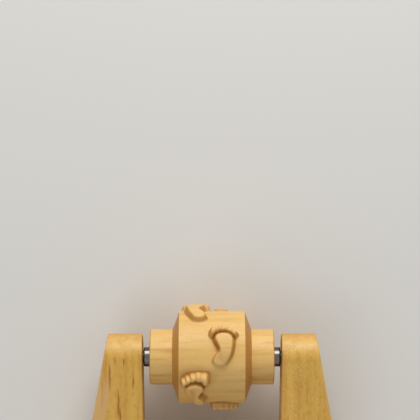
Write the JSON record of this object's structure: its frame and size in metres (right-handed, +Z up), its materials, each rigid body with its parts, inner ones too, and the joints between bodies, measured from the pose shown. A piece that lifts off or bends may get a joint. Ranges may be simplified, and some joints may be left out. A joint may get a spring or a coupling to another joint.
{
  "type": "clay texture roller",
  "caption": "Hand roller that presses a trail of bare feet into clay: a carved wooden roller spins on a steel axle in a wooden fork with a turned grip.",
  "frame": {"origin": "under the middle of the whole tool, on the surface that it lies on", "axes": "+X along the axle, +Y from the grip towards the arm tips, +Z up"},
  "size_m": [0.1028, 0.2016, 0.044],
  "materials": {
    "roller_wood": "sanded bare, pale and close-grained",
    "fork_wood": "sanded and lightly oiled, golden with long dark pores",
    "dowel_wood": "raw",
    "polished_steel": "polished"
  },
  "bodies": {
    "handle": {"left_arm": "fork_wood", "right_arm": "fork_wood", "bridge": "fork_wood", "left_front_dowel": "dowel_wood", "left_rear_dowel": "dowel_wood", "right_front_dowel": "dowel_wood", "right_rear_dowel": "dowel_wood", "grip": "fork_wood", "axle": "polished_steel"},
    "roller": {"texture_roller": "roller_wood", "left_bushing": "polished_steel", "right_bushing": "polished_steel"}
  },
  "joints": [
    {"name": "roller_spin", "type": "hinge", "parent": "handle", "child": "roller", "pos_m": [0, 0.07861, 0.02198], "axis": [1, 0, 0], "continuous": true}
  ]
}
